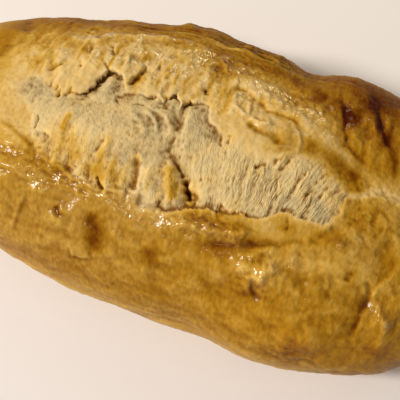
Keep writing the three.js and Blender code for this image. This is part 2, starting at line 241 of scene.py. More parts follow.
# The burst: far and near edge of the crust as lines of (x, s)
FAR_LIP = [
    (-78, 7), (-77, 2), (-75.5, 0), (-72, -0.5), (-68, 2), (-63.5, 5), (-60, 7), (-56.5, 3.5),
    (-52.5, 2.5), (-49.5, -1), (-49, -7), (-47, -13.5), (-44, -14), (-41.5, -13.5), (-38.5, -11.5),
    (-35.5, -5.5), (-33.5, -4), (-29.5, -5.5), (-24.5, -4.5), (-21, -7), (-17.5, -4), (-15.5, -8.5),
    (-14, -10.5), (-11.5, -8), (-9.5, -4.5), (-8, -10), (-6, -9), (-2.5, -10.5), (0.5, -10), (4, -1.5),
    (7.5, 0), (10.5, 3), (20, 6), (28, 8), (33, 7), (40, 1), (47, -1), (54, 1), (60, 5), (65.5, 9),
]
NEAR_LIP = [
    (-78, 8), (-73, 12), (-69, 17), (-66, 23), (-63, 28.5), (-54, 34.5), (-45.5, 36), (-40, 39),
    (-34.5, 39.5), (-25.5, 40.5), (-20.5, 38.5), (-15, 39), (-9, 42), (-5, 41), (1, 40), (5.5, 37.5),
    (11, 34.5), (15.5, 33.5), (24.5, 33), (29, 31), (37.5, 30.5), (43.5, 25.5), (46.5, 24), (51.5, 25),
    (60.5, 24), (63, 22), (65, 17.5), (65.5, 12),
]
# How far the crumb lies below each lip: (x, drop), and how far in from it
FAR_DROPS = [
    (-92, 0), (-66, 0.2), (-60, 0.5), (-54, 0.7), (-50, 2.4), (-47, 3.2), (-41, 2.6), (-37, 0.8),
    (-33, 0.4), (-27, 0.5), (-24, 1), (-20, 0.6), (-17, 1.2), (-13, 1.6), (-10, 1), (-8, 2.4),
    (-5, 1.6), (0, 0.8), (4, 0.7), (10, 0.4), (16, 0), (66, 0),
]
NEAR_DROPS = [
    (-92, 0), (-40, 0.3), (-5, 0.8), (4, 2.6), (10, 2.2), (20, 1.8), (28, 1.2), (44, 1), (50, 0.5),
    (66, 0.9),
]
GAP_WIDTH = 4.5
# How wide the change from crust to crumb is at each lip: (x, width in shape, width in colour)
FAR_EDGES = [
    (-78, 5, 8), (-70, 4, 5), (-62, 1.4, 2), (-54, 0.8, 1), (-2, 0.8, 1),
    (8, 1.2, 1.4), (13, 8, 10), (50, 9, 12), (62, 3, 4),
]
NEAR_EDGES = [
    (-78, 5, 8), (-66, 4, 6), (-54, 5, 6), (-40, 7, 8), (-20, 6, 9),
    (-4, 2.5, 6), (6, 0.8, 1.4), (44, 0.8, 1.2), (52, 1.4, 2), (66, 2, 3),
]
# Raggedness of both lips: amount, then size of the shift along and of the one around
LIP_RAGGEDNESS = 0.9
RAG_SIZE_ALONG = (2.6, 2.6)
RAG_SIZE_AROUND = (3.0, 3.0)
# The far lip curls up and leans over the crumb, where that lies deep enough under it
LIP_CURL = 0.4
CURL_REACH = 5.0
LIP_OVERHANG = 0.8
LIP_UNDERCUT = 0.8
OVERHANG_REACH = 2.0
OVERHANG_DROPS = (0.5, 2.0)
# The two pillows of crumb: x, s, reach, height, and width of the change between them
LEFT_PILLOW = (-36, 20, 34, 17, 2.2)
RIGHT_PILLOW = (33, 10, 36, 19, 4.0)
SPLIT_BLEND = 3.0
# Rips and pits in the crumb and the far flap: line, width, height
TEARS = [
    # Far side
    ([(-70.5, -4.5), (-68.5, -8), (-65, -13)], 0.6, -1.3),
    ([(-58, -18.5), (-59.5, -24.5)], 0.8, -0.7),
    ([(-51.5, -28), (-47.5, -21.5)], 0.5, -1),
    ([(-40, -26), (-39, -19)], 0.5, -0.7),
    (FLAP_SLIT, 0.7, -1.6),
    ([(-27, -27), (-26, -20)], 0.5, -0.7),
    ([(-3.5, -18), (-3, -14.5)], 0.7, -2),
    # Burst
    ([(-72, 0), (-67.5, 2), (-61.5, 4.5), (-59.5, 7.5)], 0.6, -0.4),
    ([(-65.5, 16.5), (-64.5, 20), (-64, 23.5)], 0.6, -1),
    ([(-59, 6), (-56.5, 3.5), (-52.5, 2.5), (-49.5, -1)], 0.7, -1.1),
    ([(-49.5, -1), (-48.5, -6.5), (-47, -10), (-46.5, -12.5), (-43.5, -13)], 1.2, -1.8),
    ([(-36, 29), (-34, 23.5), (-33, 19)], 0.4, -0.8),
    (BUBBLE_EDGE, 0.5, -0.7),
    ([(-31, 34.5), (-29, 37.5), (-26, 39.5)], 0.8, -1.8),
    ([(-28.5, 2), (-27, 0), (-23.5, -0.5)], 0.6, -0.9),
    ([(-24.5, -4), (-21, -6.5)], 0.7, -1.3),
    ([(-16.5, -5), (-17, -7), (-15.5, -8), (-14, -10), (-12.5, -8)], 0.6, -1.4),
    ([(-9, -6), (-8, -9), (-5.5, -8)], 1.2, -2.2),
    (FISSURE[3:7], 0.6, -0.9),
    ([(-2, 12.5), (-1.5, 15), (-2, 18.5)], 0.5, -0.6),
    ([(-3, 35.5), (-2.5, 39), (0, 40)], 0.5, -1.2),
    ([(-2.5, 19.5), (0, 22.5), (3, 25)], 0.7, -1.1),
    ([(3, 25), (6, 29), (7.5, 31.5), (11, 34)], 2, -3.8),
    ([(11.5, 2), (11.5, 6), (13, 8.5)], 0.6, -0.8),
    ([(14, 1.5), (15, 7)], 0.6, -0.8),
    ([(19, 33.5), (22, 32), (23, 30)], 1.4, -2.4),
    # Near side
    ([(24.5, 33), (29, 31.5), (34, 30.5), (37.5, 30.5)], 0.7, -0.9),
    ([(47, 25.5), (48.5, 31)], 0.6, -0.8),
]
# Groups of like rips
COMB_RIPS = [
    [(-58, -10.5), (-60, -15)],
    [(-66, 3), (-66.5, -1)],
    [(-63, 5), (-63, 1)],
    [(-60.5, 7), (-61, 3)],
    [(-57, 4), (-57, 0)],
]
FINE_RIPS = [
    [(7.5, 16.5), (10, 22.5), (12, 26)],
    [(28, 19.5), (27, 25), (25.5, 30)],
    [(22.5, 17), (21.5, 25.5)],
    [(47.5, 8.5), (44.5, 17), (43.5, 21)],
    [(36.5, 11.5), (39, 16.5), (41, 22)],
    [(48.5, 4.5), (47.5, 9)],
]
LONG_RIPS = [
    [(28, 12.5), (29.5, 10.5), (32.5, 9)],
    [(34.5, 10), (35.5, 6.5), (37, 4.5)],
    [(37, 11), (39.5, 7.5), (40, 3.5)],
    [(56, 3.5), (53.5, 8.5), (52, 12.5), (50, 19)],
    [(56, 15.5), (56.5, 12), (58, 9)],
    [(43.5, 24.5), (46.5, 22.5), (47, 25.5)],
]
TEARS += [(line, 0.5, -0.9) for line in COMB_RIPS]
TEARS += [(line, 0.35, -0.6) for line in FINE_RIPS]
TEARS += [(line, 0.55, -1.0) for line in LONG_RIPS]
# Wander of rips and its size, then how uneven they are: change, its size, least and most strength
RIP_WANDER = (0.9, 3.0)
RIP_UNEVENNESS = 1.6
RIP_UNEVEN_SIZE = (2.6, 2.6)
RIP_STRENGTHS = (0.2, 1.6)
# How much darker brown the bottom of a rip is painted for each millimetre of its depth, as painted shade
RIP_PAINTED_SHADE = 0.12

# Grain of the surface: x, s, reach, size along and around, height; the order of rows sets their noise
GRAINS = [
    (-40, 38, 30, 7, (6, 3.5), 0.9),
    (-50, 41, 28, 7, (5.5, 2.2), 0.5),
    (-72, 36, 10, 9, (7, 3.5), 1.2),
    (20, 39, 18, 5, (4.2, 2), 1),
    (43, 51, 10, 8, (2.6, 2.4), 0.9),
    (28, -23, 26, 6, (3.6, 3.2), 1.3),
    (-22, -20, 28, 9, (2, 5), 0.4),
    (12, -56, 40, 8, (7, 5), 1),
    (-50, -36, 34, 6, (3.2, 2.6), 0.6),
    (-35, -21, 42, 14, (4.5, 18), 1.5),
    (-40, -12, 40, 8, (2.4, 4), 0.4),
    (-80, -12, 14, 10, (4, 5), 0.8),
    (-6, -54, 34, 9, (16, 4), 1.1),
    (-20, -52, 70, 9, (14, 2.6), 0.7),
    (6, -38, 14, 8, (5, 4), 1),
    (0, 92, 120, 14, (16, 2.6), 0.25),
    (70, 82, 20, 10, (6, 5), 0.7),
    (70, -26, 14, 18, (4, 16), 1.3),
    (92, 46, 9, 16, (5, 8), 1),
    (18, -8, 18, 9, (4, 4.5), 0.9),
    (78, 14, 14, 12, (4.5, 4), 1),
    (80, 3, 18, 4, (2.4, 1.8), 1),
    (40, 62, 60, 24, (11, 9), 0.8),
    (0, 56, 90, 20, (5.5, 5), 0.4),
    (66, 44, 26, 26, (5, 4.5), 0.8),
    (-50, 60, 50, 18, (11, 9), 0.7),
    (-66, -6, 12, 8, (2.8, 10), 1.2),
    (0, -84, 120, 22, (12, 9), 0.9),
]
# Sharp crests with rounded hollows between them, in the same way
CRESTS = [
    (-34, -17, 44, 10, (6, 16), 0.8),
    (28, -23, 26, 6, (3.6, 3.2), 0.5),
    (-30, -34, 50, 8, (5, 4), 0.8),
    (-45, 38, 30, 6, (6.5, 2.4), 0.8),
    (18, 40, 18, 4, (6, 1.9), 0.8),
    (43, 50, 10, 8, (3, 3.5), 0.7),
    (92, 44, 10, 14, (4, 7), 1),
    (78, 16, 14, 12, (3.5, 3.5), 1.1),
    (-2, -32, 14, 9, (3.5, 4), 0.8),
    (12, -54, 30, 7, (6, 3), 0.8),
    (24, -57, 22, 7, (3.2, 2.6), 1.3),
    (30, 66, 60, 20, (14, 11), 0.9),
    (-50, 58, 40, 16, (12, 10), 0.7),
    (68, 80, 20, 9, (6, 5), 0.3),
    (0, -82, 120, 20, (18, 12), 0.45),
]
# How much finer and lower each octave of the crests is than the one before
BILLOW_FINER = 2.1
BILLOW_LOWER = 1.9
GRAIN_WANDER = 1.6
# Pits, where the noise passes this ramp, lumps and fine skin of the whole crust
PIT_SIZE = (2.3, 2.3)
PIT_RAMP = (0.42, 0.62)
PIT_DEPTH = 0.25
LUMP_SIZE = (26, 22)
LUMP_HEIGHT = 1.4
SKIN_SIZE = (2.0, 2.0)
SKIN_HEIGHT = 0.24
# All relief fades in between these heights over the floor
RELIEF_RAMP = (3, 16)

# Fibres of the right pillow fan out from the near lip
FAN_MIDDLE = (28, 15)
FAN_SLANT = 0.011
FAN_LIMITS = (-20, 40)
# Where they show most: x, s, reach
FIBRES = (42, 18, 26, 14)
# Threads in the material: wander, how many times shorter they are on the left pillow, strength, how much
# less of it the left pillow has and how much more the place of the fibres
THREAD_WANDER = 1.9
TORN_SHORTNESS = 3.5
FIBRE_STRENGTH = 0.48
TORN_FIBRE_FADE = 0.08
FIBRE_EXTRA = 0.6
# Crust that is drawn out into threads too: x, s, reach, strength
WRINKLED = [(-30, -20, 50, 11, 0.2), (14, -10, 14, 8, 0.2), (66, -26, 14, 18, 0.25)]
# Smooth bubble skins in the crumb: x, s, reach, and the share of texture that they lack
SMOOTH_PLACES = [(-43, -3, 7, 5), (0, 1, 6, 9), (-33, 0, 5, 3), (-58, 19, 5, 5), (-54, 7, 8, 3)]
SMOOTHNESS = 0.85
# Straps of the right pillow, blades and crumple of the left one: coarse and fine size, share of the fine
STRAP_SIZES = ((4.4, 26), (2.1, 17), 0.6)
BLADE_SIZES = ((5.2, 17), (2.5, 10), 0.5)
CRUMPLE_SIZES = ((4.5, 5), (2.0, 2.2), 0.5)
# Wander and its size, then step and share of the flakes, and where in a step its edge lies
STRAP_WANDER = (2.5, 12.0)
BLADE_WANDER = (2.0, 6.5)
STRAP_FLAKES = (0.26, 0.55)
BLADE_FLAKES = (0.28, 0.5)
FLAKE_EDGE = (0.35, 0.65)
STRAP_HEIGHT = 1.1
BLADE_HEIGHT = 0.95
CRUMPLE_HEIGHT = 0.5
# Fine threads on the straps
THREAD_SIZE = (2.6, 15)
THREAD_LIFT = 0.3
THREAD_HEIGHT = 0.7
# How far straps and threads stand up, between two limits
LOOSE_LEVEL = 0.15
LOOSE_NOISE = 0.5
LOOSE_SIZE = (8, 10)
LOOSE_LIMITS = (0.08, 1.3)
# Grit of all crumb, less on the left pillow
CRUMB_GRIT_HEIGHT = 0.24
CRUMB_GRIT_SIZE = (1.3, 2.2)
TORN_GRIT_FADE = 0.5
# The blades grow from the far side to the near one, and the crumple fades
CRUMPLE_FADE = 0.4
BLADES_RAMP = (8, 26)

# Net of points: (from, to, step) along the loaf and around it at its widest
LENGTH_BANDS = [(-92, -88, 0.9), (-88, 72, 0.58), (72, 108, 0.9)]
LEFT_END_STEPS = 28
RIGHT_END_STEPS = 22
GIRTH_BANDS = [
    (-150, -104, 5.5), (-104, -66, 2.2), (-66, -20, 0.95), (-20, 46, 0.58),
    (46, 80, 0.95), (80, 104, 1.5), (104, 150, 5.5),
]
BASE_STEPS = 3
# Steps in which the girth of half a section is measured
SECTION_STEPS = 720

# Noise repeats after so many cells
NOISE_CELLS = 64

# Colours by how far the dough is baked, from raw crumb to scorched crust (share, sRGB)
BAKE_COLOURS = [
    (0, (200, 179, 132)),
    (0.12, (219, 192, 137)),
    (0.24, (225, 190, 120)),
    (0.4, (208, 165, 74)),
    (0.6, (178, 129, 29)),
    (0.8, (138, 82, 3)),
    (1, (80, 26, 1)),
]
# How far the crust is baked round the loaf: (s, share)
BAKE_ROUND = [
    (-124, 0.44), (-108, 0.58), (-66, 0.65), (-54, 0.74), (-46, 0.64), (-38, 0.45), (-30, 0.36),
    (-20, 0.3), (-10, 0.24), (0, 0.25), (24, 0.34), (36, 0.46), (46, 0.56), (62, 0.59), (80, 0.6),
    (92, 0.51), (104, 0.43),
]
# The dark far rim climbs toward the left end: slope, x where it is level, reach from there, x over which
# it ends, and way down the far side over which it begins
RIM_CLIMB = 0.3
RIM_LEVEL_AT = -40
RIM_CLIMB_LIMITS = (-50, 40)
RIM_CLIMB_END = (5, 40)
RIM_SIDE = (5, 30)
# Both ends are baked alike all round, between these distances from a middle x
END_BAKE = 0.60
END_RAMP = (80, 115)
ENDS_MIDDLE = 5.0
# Caps of the ends, where (x, s) would draw rings: hills and mottles by place in space
CAP_RAMP = (100, 118)
CAP_HILL_SIZE = 24.0
CAP_HILL_HEIGHT = 2.2
CAP_MOTTLE_SIZE = 17.0
CAP_MOTTLE = 0.22
CAP_OCTAVES = 3
# Keeps the two caps unlike
CAP_SHIFT = 300.0
# How far the crumb is baked, how that varies, and the least for crust
CRUMB_BAKE = 0.11
CRUMB_MOTTLE = 0.14
CRUMB_MOTTLE_SIZE = (6, 9)
LEAST_CRUST_BAKE = 0.22
# Mottles of the crust: size, change
MOTTLES = [(22, 0.06), (9, 0.07), (4, 0.06)]
# Specks that the material adds, and their mean, which is taken off first
SPECKS = 0.26
SPECK_MEAN = 0.13
# Places baked more or less than what is around them: x, s, reach, change; two of them are painted shade in
# a recess and a hollow
BAKE_PLACES = [
    # Far side
    (-106, -24, 14, 14, 0.12),
    (-84, -12, 10, 6, -0.05),
    (-80, -12, 14, 8, 0.06),
    (-77.5, -6.5, 3, 4, 0.08),
    (-71, -9, 3, 3, 0.14),
    (-60, -9, 11, 8, -0.1),
    (-40, -18, 10, 6, -0.05),
    # Painted shade in the recess of the flap's slit
    (-32, -14.5, 2.2, 4.5, 0.5),
    (-30, -32, 20, 10, -0.1),
    (-30, -17, 12, 7, -0.06),
    (-26.5, -10, 4.5, 4, -0.16),
    (-22, -42, 7, 8, 0.18),
    (-12, -24, 10, 10, 0.02),
    (-3, -15, 3, 5, -0.08),
    (6, -34, 12, 7, 0.14),
    (6, -14, 6, 7, 0.06),
    (10, -42, 14, 9, 0.2),
    (14, -45, 14, 8, 0.08),
    (20, -8, 16, 8, -0.01),
    (22, -49, 12, 4, -0.22),
    (27, -21, 8, 5, 0.06),
    (32.5, -29, 6, 4, 0.18),
    (34, -7.5, 3.5, 3.5, 0.18),
    (36, -16, 4, 3, 0.18),
    (36, -1, 5, 5, 0.26),
    (43, -32, 14, 10, 0.24),
    (51, -4, 8, 6, 0.24),
    (58, -29, 3.2, 5, 0.36),
    (60, -1, 6, 5, 0.22),
    (66.5, 0, 4, 3, 0.4),
    (68.5, 4.5, 4, 3, 0.22),
    (70, -28, 18, 23, 0.45),
    (72, -34, 5, 6, -0.14),
    (76, -8, 9, 5, 0.26),
    # Burst
    (-72, 6, 8, 6, -0.1),
    (-50, 31, 16, 6, 0.12),
    (-46, 33, 24, 9, 0.16),
    (-45, 24, 7, 6, 0.1),
    (-43, -3, 7, 5, -0.12),
    (-28, 34, 6, 7, 0.22),
    (-22, 33, 4, 7, 0.1),
    (-18, 7, 8, 7, -0.1),
    (0, 2, 5, 8, -0.1),
    (57, 18, 7, 6, -0.1),
    # Near side
    (-84, 8, 10, 12, -0.08),
    (-74, 34, 10, 8, 0.08),
    (-69, 26, 6, 5, -0.2),
    (-44, 62, 48, 22, -0.12),
    (26, 48, 7, 4, 0.16),
    # Painted shade in the hollow below the mound
    (41, 62, 6, 4, 0.14),
    (43, 32, 8, 4, -0.08),
    (44, 50, 10, 8, -0.02),
    (48, 30, 4, 3, 0.22),
    (64, 29, 8, 5, 0.22),
    (67, 75, 5, 6, 0.18),
    (69, 27, 5, 4, 0.14),
    (73.5, 17.5, 3, 4, 0.14),
    (77.5, 40, 2.5, 4, 0.14),
    (78, 14, 16, 10, 0.29),
    (80, 84, 30, 12, 0.04),
    (91, 27, 5, 5, 0.2),
    (92, 30, 12, 22, 0.05),
    (99, 63, 6, 6, 0.18),
]
# The same along lines: line, width, change; along the fissure, the roll's crease and the lip's groove the
# added brown is partly painted shade
BAKE_LINES = [
    # Far side
    ([(-78, -6), (-75, -17), (-70, -30)], 3, 0.14),
    ([(-10, -47), (-5, -40), (-1, -30), (4, -22)], 6, 0.26),
    (SKIN_STREAKS[0], 1.4, 0.1),
    (SKIN_STREAKS[1], 1.6, 0.16),
    (SKIN_STREAKS[2], 1.5, -0.1),
    (ROLL_CREASE, 1, 0.14),
    ([(0, -50), (14, -48), (28, -42), (40, -37), (48, -31)], 5, 0.16),
    (SKIN_BAND, 1.9, 0.22),
    (ROLL, 4, -0.06),
    ([(44, -11), (46, -5), (44, 1)], 2.4, 0.22),
    ([(50, -12.5), (59.5, -8), (67.5, -5)], 2.2, -0.18),
    (SCORCH_LEFT, 3.6, 0.14),
    (SCORCH_LEFT, 1.1, 0.14),
    ([(61, -31), (65, -24), (70, -16), (74.5, -9), (79, -4)], 2.8, -0.08),
    (SCORCH_RIGHT, 3.8, 0.14),
    (SCORCH_RIGHT, 1.2, 0.14),
    (SCORE_TAIL, 1.5, -0.32),
    # Burst
    (FIRST_BLADE, 1.8, 0.4),
    (LIP_EDGE, 1.2, 0.14),
    (SECOND_BLADE, 2.2, 0.16),
    ([(-17.5, 22), (-16.5, 29)], 1.2, 0.22),
    (FIRST_TONGUE, 3, 0.08),
    (SECOND_TONGUE, 3, 0.36),
    # Painted shade down the lower fissure
    (FISSURE[7:-1], 1.4, 0.2),
    # Near side
    (LEFT_LIP, 1, 0.16),
    (RED_PIT, 2, 0.32),
    (BROWN_TROUGH, 3.8, 0.31),
    (GREY_SPOT, 3.4, 0.2),
    ([(6, 38), (20, 38.5), (36, 36)], 3.4, 0.2),
    (LIP_GROOVE, 2.6, 0.12),
    ([(68, 83), (78, 86), (86, 82), (94, 78)], 2.2, -0.16),
    (END_CREASE, 1, 0.04),
]
# Streaks in the brown: x, s, reach, size along and around, change
BAKE_STREAKS = [
    (68, -28, 20, 24, (3.5, 14), 0.18),
    (46, -34, 20, 13, (5, 9), 0.25),
    (-30, -54, 70, 8, (18, 2.4), 0.35),
    (-40, -21, 42, 12, (4, 12), 0.6),
    (-30, -18, 50, 9, (2.2, 8), 0.55),
    (-70, -10, 20, 12, (5, 6), 0.2),
    (-10, 92, 60, 14, (18, 3), 0.08),
    (70, 82, 20, 10, (6, 6), 0.08),
    (66, 40, 36, 26, (7, 6), 0.16),
    (92, 46, 12, 24, (4, 14), 0.16),
    (-30, 30, 34, 9, (3, 9), 0.35),
    (25, -6, 22, 10, (6, 10), 0.2),
    (-66, -6, 12, 8, (2.6, 9), 0.35),
    (0, -88, 120, 24, (26, 13), 0.1),
]
# Darker and, above 0, lighter places, partly the bread's own grey or pale tone and partly painted shade
# and painted light on facets and folds: x, s, reach, change of shade
SHADE_AND_TONE_PLACES = [
    # Far side
    (-66, -4, 9, 7, 0.14),
    (-60, -11, 13, 6, 0.2),
    (-26.5, -10, 5, 4, 0.16),
    (6, -12, 6, 7, 0.15),
    (16, -8, 14, 8, 0.1),
    (36.5, -7, 3.5, 4, -0.1),
    (60, -2, 8, 7, -0.14),
    # Burst
    (-74, 4.5, 7, 5, -0.16),
    (-54, 7, 8, 3, -0.2),
    (-46, 2.5, 4, 3, 0.24),
    (-45, 32, 20, 6, -0.1),
    (-40, -2.5, 6, 4, -0.26),
    (-37, 20, 9, 8, 0.22),
    (-20, 24, 14, 10, -0.1),
    (-18, 7, 8, 7, -0.16),
    (0, 0.5, 4.5, 8, -0.08),
    (8, 4, 3, 4, -0.26),
    (14, 18, 10, 8, 0.08),
    (23.5, 6.5, 5, 4, 0.28),
    (37, 4, 4.5, 5, -0.2),
    (41, 17, 8, 7, -0.08),
    (59, 19, 5, 5, -0.06),
    # Near side
    (-76, 16, 7, 7, -0.04),
    (-44, 62, 48, 22, -0.19),
    (0, 86, 120, 10, -0.1),
    (75, 84, 18, 8, -0.08),
    (84, 51, 4, 7, -0.12),
    (93, 46, 4, 5, 0.14),
]
# The same along lines: line, width, change
SHADE_AND_TONE_LINES = [
    (GREY_SPOT, 3, -0.1),
    ([(-19, -54), (-0.5, -56), (14.5, -54), (30, -50), (43.5, -50)], 5, -0.24),
]
# Hollows are painted darker and tops lighter than the places around them, as painted shade and painted
# highlight: steps to look round, change for a millimetre
HOLLOW_SHADE_STEPS = [(2, 1.0), (7, 0.22)]
# Painted shade of a level place; on the crust, the share of that change and how much browner hollows and
# paler tops are painted, as painted shade and painted highlight
SHADE_LEVEL = 0.5
CRUST_SHADE = 0.45
HOLLOW_SHADE_IN_BAKE = 0.14
# Wide patches in the shade of the crumb
CRUMB_PATCHES = 0.22
CRUMB_PATCH_SIZE = (9, 11)
# Painted shade and painted highlight, as a share of the bread's own colour: darkest in hollows, lightest
# on tops
SHADE_COLOURS = [(0.0, (138, 106, 58)), (SHADE_LEVEL, (232, 229, 224)), (1.0, (255, 255, 255))]

# Gloss: tint and level of the bread itself, roughness of crust, of crumb and of the egg wash
GLOSS_COLOUR = (255, 212, 135)
SPECULAR_LEVEL = 0.02
CRUST_ROUGHNESS = 0.44
CRUMB_ROUGHNESS = 0.92
COAT_ROUGHNESS = 0.165
# Noise in the material: scale per metre and detail, then depth of the bump in metres
GRIT_GRAIN = (800.0, 4.0)
GRIT_BUMP = 0.0010
WRINKLE_GRAIN = (200.0, 3.0)
WRINKLE_BUMP = 0.0018
CRAG_GRAIN = (300.0, 7.0)
CRAG_BUMP = 0.0022
COAT_GRAIN = (600.0, 2.0)
COAT_BUMP = 0.0010
SPECK_SCALE = (900.0, 420.0, 420.0)
SPECK_DETAIL = 3.0
# Threads are scaled per millimetre across and along the fibres; their crests are painted lighter and the
# grooves between them darker, as painted highlight and painted shade; their mean leaves the shade as it is
THREAD_SCALE = (0.75, 0.14, 1.0)
THREAD_DETAIL = 3.0
THREAD_MEAN = 0.8
THREAD_BUMP = 0.0010
# Strength of the grit on the crust, and what the crumb and the shine add to it
CRUST_GRIT = 0.08
CRUMB_GRIT = 0.42
SHINE_GRIT = 0.4
# Strength of wrinkles and crags on the whole crust, and more at places: x, s, reach, strength
CRAGS = 0.14
CRAG_PLACES = [
    # Far side
    (-145, 0, 36, 100, 0.12),
    (-30, -18, 50, 11, 0.25),
    (0, -84, 120, 22, 0.12),
    (10, -44, 40, 12, 0.2),
    (20, -6, 22, 10, 0.12),
    (28, -23, 26, 7, 0.14),
    (70, -26, 18, 22, 0.15),
    (150, 0, 36, 100, 0.12),
    # Near side
    (-45, 39, 32, 8, 0.2),
    (18, 41, 20, 6, 0.3),
    (43, 50, 11, 9, 0.25),
    (76, 16, 16, 12, 0.2),
    (92, 44, 12, 18, 0.2),
]
# Egg wash on the whole crust, below the near lip, and more at places: x, s, reach, strength
SHINE = 0.02
NEAR_SHINE = 0.12
NEAR_SHINE_RAMP = (34, 44)
SHINE_PLACES = [
    # Far side
    (-40, -26, 44, 14, 0.3),
    (-8, -36, 10, 5, 0.5),
    (20, -8, 18, 8, 0.15),
    (30, -24, 24, 5, 0.3),
    (54, -12, 5, 4, 0.6),
    (64, -24, 12, 20, 0.03),
    # Burst
    (-40, 39, 12, 3, 0.4),
    # Near side
    (-74, 34, 4, 5, 0.2),
    (-68, 39, 3, 5, 0.2),
    (-62, 36, 4, 4, 0.2),
    (-58, 42, 5, 4, 0.3),
    (-53, 45, 3, 3, 0.3),
    (-25.5, 42, 3, 2, 0.45),
    (-18.5, 42.5, 3, 3, 0.45),
    (-12.5, 42.5, 6, 5, 0.6),
    (0, 45, 8, 3, 0.6),
    (18, 41, 16, 3.5, 0.8),
    (36, 50, 3, 3.5, 0.22),
    (44, 53, 4, 4, 0.35),
    (47.5, 47, 3, 4, 0.4),
    (74, 22, 9, 7, 0.2),
    (94, 46, 4, 4, 0.3),
]
SHINE_LINES = [(RIM_CREST, 2.0, 0.5), (ROLL, 3.5, 0.3)]

# Floor, lamps and room, in metres
FLOOR_COLOUR = (228, 221, 219)
FLOOR_REACH = 2.0
FLOOR_ROUGHNESS = 0.6
LAMP_COLOUR = (255, 250, 243)
WARM_COLOUR = (255, 240, 200)
# Name, place, size, power, colour; each is turned to the loaf
LAMPS = [
    ("key", (-1.15, -0.75, 1.15), 0.3, 30, LAMP_COLOUR),
    ("fill", (-0.1, 1.42, 0.89), 0.18, 6.5, WARM_COLOUR),
    ("front", (-0.15, -1.05, 1.55), 0.12, 5, WARM_COLOUR),
]
ROOM_COLOUR = (255, 252, 250)
ROOM_STRENGTH = 0.30

# Camera fitted to the photo's outline, and the nearest distance it sees, in metres
CAMERA_TURN = math.radians(21.2)
CAMERA_RISE = math.radians(66.0)
CAMERA_DISTANCE = 326.0
CAMERA_TARGET = (5.0, -11.8, 35.0)
CAMERA_ANGLE = math.radians(32.0)
CAMERA_CLIP = 0.01

Net = namedtuple("Net", "even x s along around normal caps")
Burst = namedtuple("Burst", "depth far_share opened pale torn rips")


def smooth_ramp(value, start, end):
    """0 up to start, 1 from end on, smooth between."""
    share = np.clip((value - start) / (end - start), 0.0, 1.0)
    return share * share * (3.0 - 2.0 * share)


def bell(value, width):
    return np.exp(-((value / width) ** 2))


def noise(u, v, seed):
    """Smooth random hills of about -0.7 to 0.7, one cell per unit."""
    turns = np.random.default_rng(seed).random((NOISE_CELLS, NOISE_CELLS)) * 2.0 * np.pi
    cell_u, cell_v = np.floor(u).astype(int), np.floor(v).astype(int)
    part_u, part_v = u - cell_u, v - cell_v

    def corner(du, dv):
        turn = turns[(cell_u + du) % NOISE_CELLS, (cell_v + dv) % NOISE_CELLS]
        return np.cos(turn) * (part_u - du) + np.sin(turn) * (part_v - dv)

    blend_u, blend_v = smooth_ramp(part_u, 0.0, 1.0), smooth_ramp(part_v, 0.0, 1.0)
    low = corner(0, 0) * (1 - blend_u) + corner(1, 0) * blend_u
    high = corner(0, 1) * (1 - blend_u) + corner(1, 1) * blend_u
    return low * (1 - blend_v) + high * blend_v


def hills(x, s, size, seed, octaves=1):
    """Noise of a size along and around; each further octave is half as large and half as high."""
    total = np.zeros(x.shape)
    for octave in range(octaves):
        finer = 2.0**octave
        total += noise(x / size[0] * finer, s / size[1] * finer, seed + octave) / finer
    return total


def billows(x, s, size, seed, octaves):
    """Sharp crests at 0 with rounded hollows between them."""
    total = np.zeros(x.shape)
    for octave in range(octaves):
        finer, lower = BILLOW_FINER**octave, BILLOW_LOWER**octave
        total -= np.abs(noise(x / size[0] * finer, s / size[1] * finer, seed + octave)) / lower
    return total


def two_hills(x, s, coarse, fine, fine_share, seed):
    return hills(x, s, coarse, seed) + fine_share * hills(x, s, fine, seed + 1)


def wandered(x, s, amount, size, seed):
    """The same places moved about a little, so that what is drawn there wanders."""
    sizes = (size, size)
    return x + amount * hills(x, s, sizes, seed), s + amount * hills(x, s, sizes, seed + 1)


def wandered_for_lines(x, s):
    return wandered(x, s, LINE_WANDER, WANDER_SIZE, seed=30)


def near_line(x, s, line):
    """Distance to a line, its side (1 on the near side of a line toward +x) and a taper at its ends."""
    lengths = [math.hypot(x1 - x0, s1 - s0) for (x0, s0), (x1, s1) in zip(line, line[1:])]
    distance, side, way = np.full(x.shape, np.inf), np.ones(x.shape), np.zeros(x.shape)
    gone = 0.0
    for (x0, s0), (x1, s1), length in zip(line, line[1:], lengths):
        dx, ds = x1 - x0, s1 - s0
        part = np.clip(((x - x0) * dx + (s - s0) * ds) / (length * length), 0.0, 1.0)
        here = np.hypot(x - x0 - part * dx, s - s0 - part * ds)
        nearer = here < distance
        distance = np.where(nearer, here, distance)
        side = np.where(nearer, np.sign(dx * (s - s0) - ds * (x - x0)), side)
        way = np.where(nearer, (gone + part * length) / sum(lengths), way)
        gone += length
    taper = smooth_ramp(way, *LINE_TAPER) * smooth_ramp(1 - way, *LINE_TAPER)
    return distance, side, taper


def read_line(line, x, column=1):
    return np.interp(x, [row[0] for row in line], [row[column] for row in line])


def swell(x, s, at_x, at_s, reach_along, reach_around):
    return np.exp(-(((x - at_x) / reach_along) ** 2) - ((s - at_s) / reach_around) ** 2)


def fold(x, s, line, width):
    distance, _, taper = near_line(x, s, line)
    return taper * bell(distance, width)


def ledge(x, s, line, width):
    distance, side, taper = near_line(x, s, line)
    return taper * np.tanh(side * distance / LEDGE_SHARPNESS) * np.exp(-distance / width)


